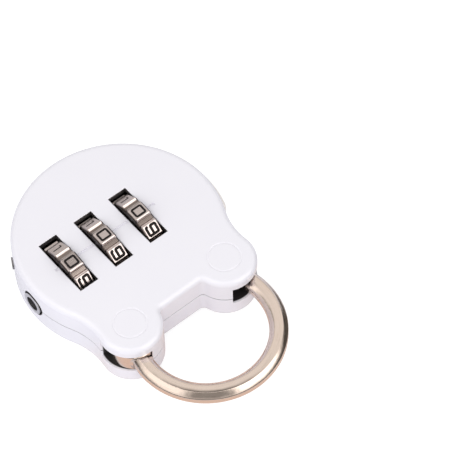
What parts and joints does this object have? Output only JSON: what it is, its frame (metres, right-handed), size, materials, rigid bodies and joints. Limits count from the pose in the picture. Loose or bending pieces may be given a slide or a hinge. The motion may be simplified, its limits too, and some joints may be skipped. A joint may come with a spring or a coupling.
{
  "type": "luggage combination padlock",
  "caption": "Round padlock for luggage with number dials in both faces, a release button in the rim and a hinged ring shackle between two ears.",
  "frame": {"origin": "middle of the lock's outline, on the plane of the lowest dial rims that it lies on", "axes": "+Z out of the front face, +Y along the length away from the shackle, +X towards the release button"},
  "size_m": [0.0356, 0.0518, 0.0123],
  "materials": {
    "white_enamel": "gloss enamel on a die casting",
    "nickel_plate": "polished warm nickel",
    "satin_nickel": "satin nickel",
    "white_button": "gloss moulded plastic",
    "steel": "turned steel",
    "spring_steel": "drawn wire and rolled strip",
    "brass": "turned brass"
  },
  "bodies": {
    "case": {"front_cover": "white_enamel", "back_cover": "white_enamel", "shackle_pin": "steel", "case_pins": "steel", "rim_pin": "steel", "detent_spring": "spring_steel", "spindle_spring": "spring_steel", "button_spring": "spring_steel", "latch_spring": "spring_steel"},
    "shackle": {"shackle": "nickel_plate"},
    "button": {"release_button": "white_button", "latch_bolt": "steel"},
    "spindle": {"reset_spindle": "satin_nickel", "spindle_clip": "spring_steel"},
    "dial_left": {"dial_left": "satin_nickel"},
    "dial_middle": {"dial_middle": "satin_nickel"},
    "dial_right": {"dial_right": "satin_nickel"},
    "hub_left": {"clutch_hub_left": "brass"},
    "hub_middle": {"clutch_hub_middle": "brass"},
    "hub_right": {"clutch_hub_right": "brass"}
  },
  "joints": [
    {"name": "shackle_swing", "type": "hinge", "parent": "case", "child": "shackle", "pos_m": [-0.01033, -0.0076, 0.00684], "axis": [0, 0, -1], "range_deg": [0, 70]},
    {"name": "button_press", "type": "slide", "parent": "case", "child": "button", "axis": [-1, 0, 0], "range_m": [0, 0.0012], "stiffness_N_per_m": 600, "deforming": ["button_spring", "latch_spring"]},
    {"name": "reset_push", "type": "slide", "parent": "case", "child": "spindle", "axis": [1, 0, 0], "range_m": [0, 0.001], "stiffness_N_per_m": 800, "deforming": ["spindle_spring"]},
    {"name": "dial_left_spin", "type": "hinge", "parent": "case", "child": "dial_left", "pos_m": [-0.01018, 0.0089, 0.00614], "axis": [1, 0, 0], "continuous": true},
    {"name": "dial_middle_spin", "type": "hinge", "parent": "case", "child": "dial_middle", "pos_m": [-0.00317, 0.0089, 0.00614], "axis": [1, 0, 0], "continuous": true},
    {"name": "dial_right_spin", "type": "hinge", "parent": "case", "child": "dial_right", "pos_m": [0.00382, 0.0089, 0.00614], "axis": [1, 0, 0], "continuous": true},
    {"name": "hub_left_spin", "type": "hinge", "parent": "spindle", "child": "hub_left", "pos_m": [-0.01018, 0.0089, 0.00614], "axis": [1, 0, 0], "continuous": true},
    {"name": "hub_middle_spin", "type": "hinge", "parent": "spindle", "child": "hub_middle", "pos_m": [-0.00317, 0.0089, 0.00614], "axis": [1, 0, 0], "continuous": true},
    {"name": "hub_right_spin", "type": "hinge", "parent": "spindle", "child": "hub_right", "pos_m": [0.00382, 0.0089, 0.00614], "axis": [1, 0, 0], "continuous": true}
  ],
  "couplings": [
    {"joint": "hub_left_spin", "follows": "dial_left_spin", "ratio": 1},
    {"joint": "hub_middle_spin", "follows": "dial_middle_spin", "ratio": 1},
    {"joint": "hub_right_spin", "follows": "dial_right_spin", "ratio": 1}
  ]
}
